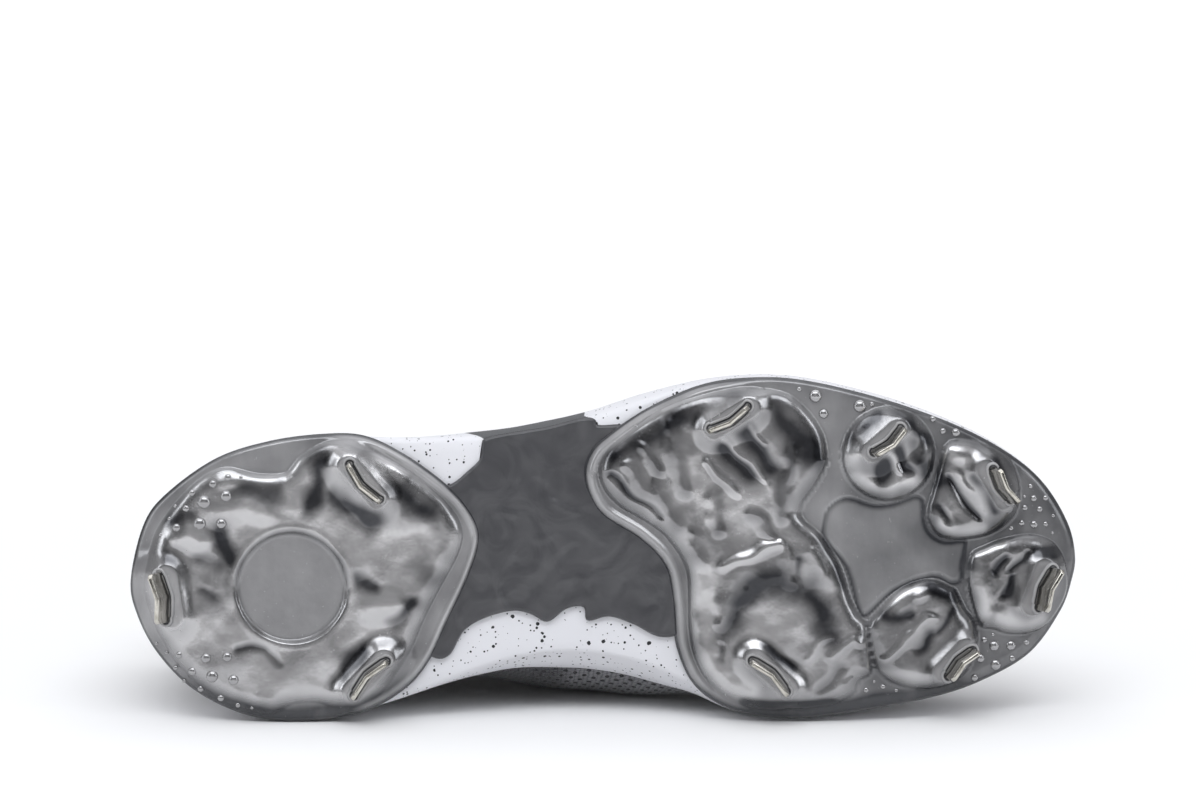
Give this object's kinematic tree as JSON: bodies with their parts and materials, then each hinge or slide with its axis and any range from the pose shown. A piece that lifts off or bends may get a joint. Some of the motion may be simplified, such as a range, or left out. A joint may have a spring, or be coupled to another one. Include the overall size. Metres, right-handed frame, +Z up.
{
  "type": "baseball cleat",
  "caption": "Low baseball cleat on its side: hollow laced upper with padded collar, foam midsole, and glossy heel and forefoot plates with thin metal blade spikes to grip dirt and grass.",
  "frame": {"origin": "middle of the bounding box's base, on the floor that the shoe lies on", "axes": "+X from heel to toe, +Y from the sole towards the top of the shoe, +Z up, through the lateral side"},
  "size_m": [0.3, 0.1244, 0.1079],
  "materials": {
    "upper_mesh": "matte engineered mesh",
    "tongue_padding": "matte mesh over foam",
    "insole_cover": "matte brushed fabric",
    "midsole_foam": "matte speckled foam",
    "plate_plastic": "clear glossy",
    "waist_skin": "satin wrinkled",
    "spike_steel": "polished",
    "overlay_film": "satin film",
    "eyestay_film": "satin film",
    "lace_weave": "matte flat weave",
    "eyelet_metal": "satin"
  },
  "bodies": {
    "root": {"upper": "upper_mesh", "tongue": "tongue_padding", "insole": "insole_cover", "midsole": "midsole_foam", "heel_plate": "plate_plastic", "forefoot_plate": "plate_plastic", "waist_cover": "waist_skin", "spike_heel_1": "spike_steel", "spike_heel_2": "spike_steel", "spike_heel_3": "spike_steel", "spike_fore_1": "spike_steel", "spike_fore_2": "spike_steel", "spike_fore_3": "spike_steel", "spike_fore_4": "spike_steel", "spike_fore_5": "spike_steel", "spike_fore_6": "spike_steel", "toe_cap": "overlay_film", "heel_counter": "overlay_film", "eyestay": "eyestay_film", "lace": "lace_weave", "eyelet_lateral_1": "eyelet_metal", "eyelet_lateral_2": "eyelet_metal", "eyelet_lateral_3": "eyelet_metal", "eyelet_lateral_4": "eyelet_metal", "eyelet_lateral_5": "eyelet_metal", "eyelet_lateral_6": "eyelet_metal", "eyelet_medial_1": "eyelet_metal", "eyelet_medial_2": "eyelet_metal", "eyelet_medial_3": "eyelet_metal", "eyelet_medial_4": "eyelet_metal", "eyelet_medial_5": "eyelet_metal", "eyelet_medial_6": "eyelet_metal"}
  },
  "joints": []
}
